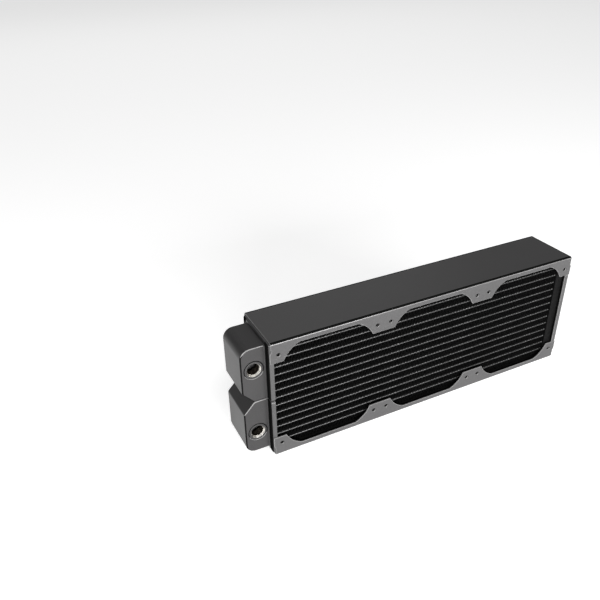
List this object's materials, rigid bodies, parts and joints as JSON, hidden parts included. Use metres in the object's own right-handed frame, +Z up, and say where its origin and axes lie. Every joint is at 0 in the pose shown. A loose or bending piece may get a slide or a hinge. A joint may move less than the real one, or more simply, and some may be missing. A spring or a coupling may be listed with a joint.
{
  "type": "liquid cooling radiator",
  "caption": "Long flat-tube heat exchanger for computer liquid cooling, with folded fins in a channel frame and fan mounting tabs on both faces, and end tanks with threaded ports.",
  "frame": {"origin": "centre of the lower side panel's outer face, on which the radiator stands on its long edge", "axes": "+X along the length, away from the port tanks; +Y through the depth, away from the face with the ports; +Z up, across the width"},
  "size_m": [0.3875, 0.0624, 0.1326],
  "materials": {
    "frame_paint": "fine satin black powder coat",
    "tank_paint": "satin black powder coat, slightly pebbled",
    "core_paint": "thin satin black paint over brazed tubes",
    "fin_paint": "dull black paint over thin folded sheet",
    "port_metal": "bright turned metal collar"
  },
  "bodies": {
    "root": {"bottom_side_panel": "frame_paint", "top_side_panel": "frame_paint", "end_bracket": "frame_paint", "upper_tank": "tank_paint", "lower_tank": "tank_paint", "upper_tray": "tank_paint", "lower_tray": "tank_paint", "upper_tube_sheet": "core_paint", "lower_tube_sheet": "core_paint", "far_tube_sheet": "core_paint", "return_tank": "core_paint", "top_core_plate": "core_paint", "bottom_core_plate": "core_paint", "centre_spacer": "core_paint", "upper_tube_1": "core_paint", "upper_tube_2": "core_paint", "upper_tube_3": "core_paint", "upper_tube_4": "core_paint", "upper_tube_5": "core_paint", "upper_tube_6": "core_paint", "lower_tube_1": "core_paint", "lower_tube_2": "core_paint", "lower_tube_3": "core_paint", "lower_tube_4": "core_paint", "lower_tube_5": "core_paint", "lower_tube_6": "core_paint", "upper_fins_1": "fin_paint", "upper_fins_2": "fin_paint", "upper_fins_3": "fin_paint", "upper_fins_4": "fin_paint", "upper_fins_5": "fin_paint", "upper_fins_6": "fin_paint", "upper_fins_7": "fin_paint", "lower_fins_1": "fin_paint", "lower_fins_2": "fin_paint", "lower_fins_3": "fin_paint", "lower_fins_4": "fin_paint", "lower_fins_5": "fin_paint", "lower_fins_6": "fin_paint", "lower_fins_7": "fin_paint", "upper_port_collar": "port_metal", "lower_port_collar": "port_metal"}
  },
  "joints": []
}
